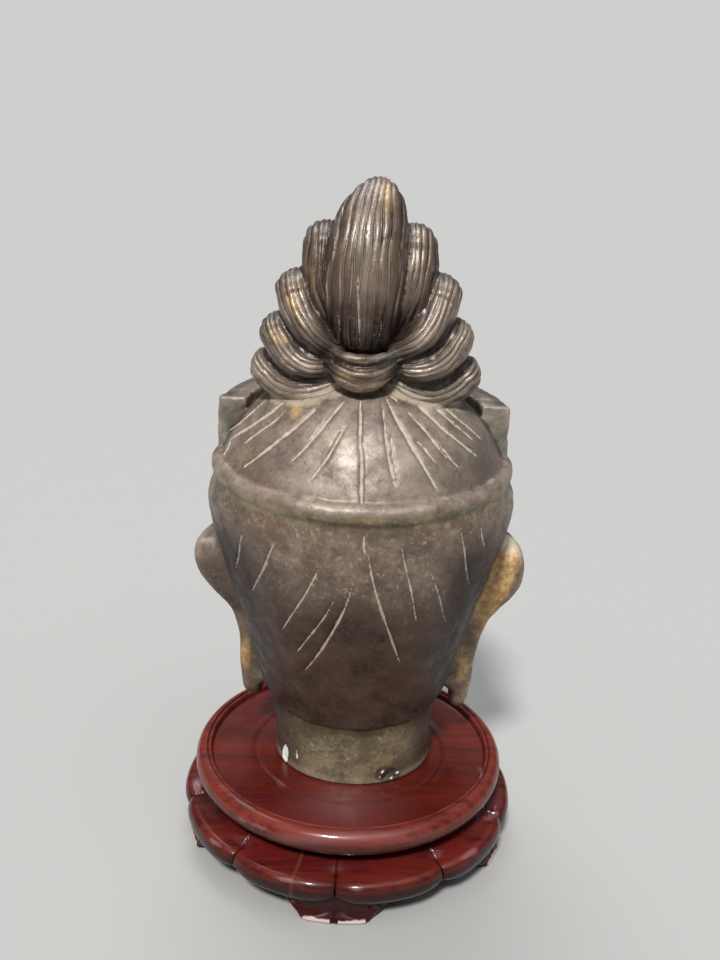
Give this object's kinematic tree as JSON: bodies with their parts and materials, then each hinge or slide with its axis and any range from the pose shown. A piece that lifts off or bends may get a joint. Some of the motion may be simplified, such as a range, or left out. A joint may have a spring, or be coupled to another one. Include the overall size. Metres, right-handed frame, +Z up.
{
  "type": "bronze head statue on wooden stand",
  "caption": "Cast bronze head of a bodhisattva-style figure with a looped topknot and low diadem, standing on a turned and lobed rosewood display stand.",
  "frame": {"origin": "on the floor, at the middle of the object's box, under the stand", "axes": "+Z up; the face looks along -Y and the nape along +Y, so the figure's own left ear is at +X"},
  "size_m": [0.192, 0.1908, 0.3634],
  "materials": {
    "patinated_bronze": "dark brown waxed patina with pale dirt in the cuts",
    "lacquered_rosewood": "glossy red-brown lacquer"
  },
  "bodies": {
    "root": {"bronze_head": "patinated_bronze", "stand_top": "lacquered_rosewood", "stand_skirt": "lacquered_rosewood"}
  },
  "joints": []
}
